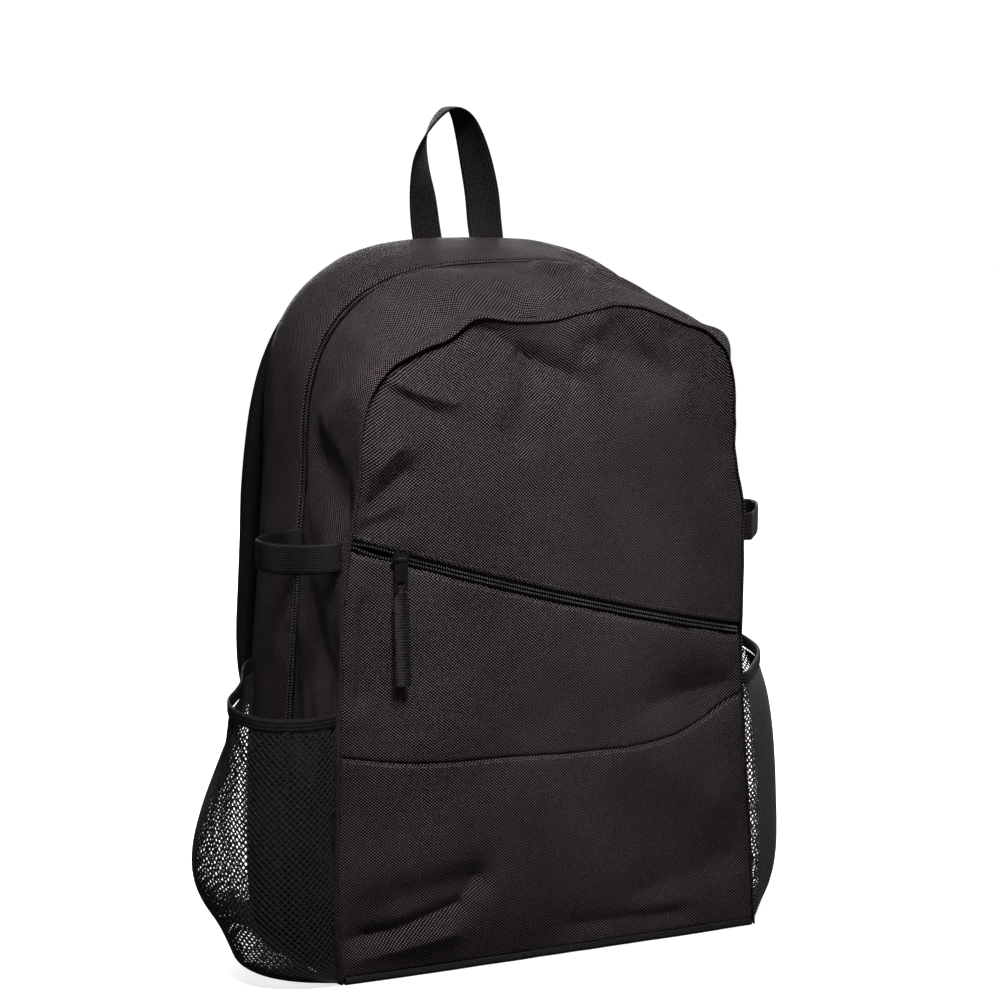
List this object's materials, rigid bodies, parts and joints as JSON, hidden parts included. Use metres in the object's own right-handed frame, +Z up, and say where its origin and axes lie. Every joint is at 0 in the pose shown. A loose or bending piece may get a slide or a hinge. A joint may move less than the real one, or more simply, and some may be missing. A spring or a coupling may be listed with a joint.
{
  "type": "baseball bat backpack",
  "caption": "Soft arched backpack with a diagonal front zipper, a net bat pocket and an elastic bat loop on each side, a grab handle and padded shoulder straps.",
  "frame": {"origin": "the middle of the underside of the bottom panel, on the ground", "axes": "+X to the right seen from the front, +Y from the front to the wearer's back, +Z up"},
  "size_m": [0.4602, 0.231, 0.5799],
  "materials": {
    "bag_cloth": "matte coarse woven polyester, black",
    "webbing": "matte ribbed webbing, black",
    "elastic": "matte ribbed elastic, black",
    "pocket_net": "matte open knitted net, black",
    "zipper_coil": "satin nylon coil on woven tape, black",
    "slider_metal": "gloss black enamel",
    "adjuster_plastic": "satin moulded plastic, black"
  },
  "bodies": {
    "bag": {"front_gusset": "bag_cloth", "rear_gusset": "bag_cloth", "main_zipper": "zipper_coil", "front_panel_upper": "bag_cloth", "front_panel_middle": "bag_cloth", "front_panel_lower": "bag_cloth", "front_zipper": "zipper_coil", "front_pocket_backing": "bag_cloth", "back_panel": "bag_cloth", "bottom_panel": "bag_cloth", "bottom_piping": "webbing", "grab_handle": "webbing", "bat_loop_left": "elastic", "bat_loop_right": "elastic", "mesh_pocket_left": "pocket_net", "mesh_pocket_right": "pocket_net", "pocket_binding_left": "elastic", "pocket_binding_right": "elastic", "shoulder_strap_left": "bag_cloth", "shoulder_strap_right": "bag_cloth", "strap_adjuster_left": "adjuster_plastic", "strap_adjuster_right": "adjuster_plastic", "strap_webbing_left": "webbing", "strap_webbing_right": "webbing", "front_zipper_slider": "slider_metal", "main_zipper_slider": "slider_metal"},
    "front_pull": {"front_zipper_puller": "slider_metal", "front_pull_tab": "webbing"},
    "main_pull": {"main_zipper_puller": "slider_metal", "main_pull_tab": "webbing"}
  },
  "joints": [
    {"name": "front_pull_swing", "type": "hinge", "parent": "bag", "child": "front_pull", "pos_m": [-0.12185, -0.09525, 0.28612], "axis": [-0.9849, 0.1732, 0], "range_deg": [0, 150]},
    {"name": "main_pull_swing", "type": "hinge", "parent": "bag", "child": "main_pull", "pos_m": [0.15608, 0.0007, 0.32], "axis": [0, -1, 0], "range_deg": [0, 150]}
  ]
}
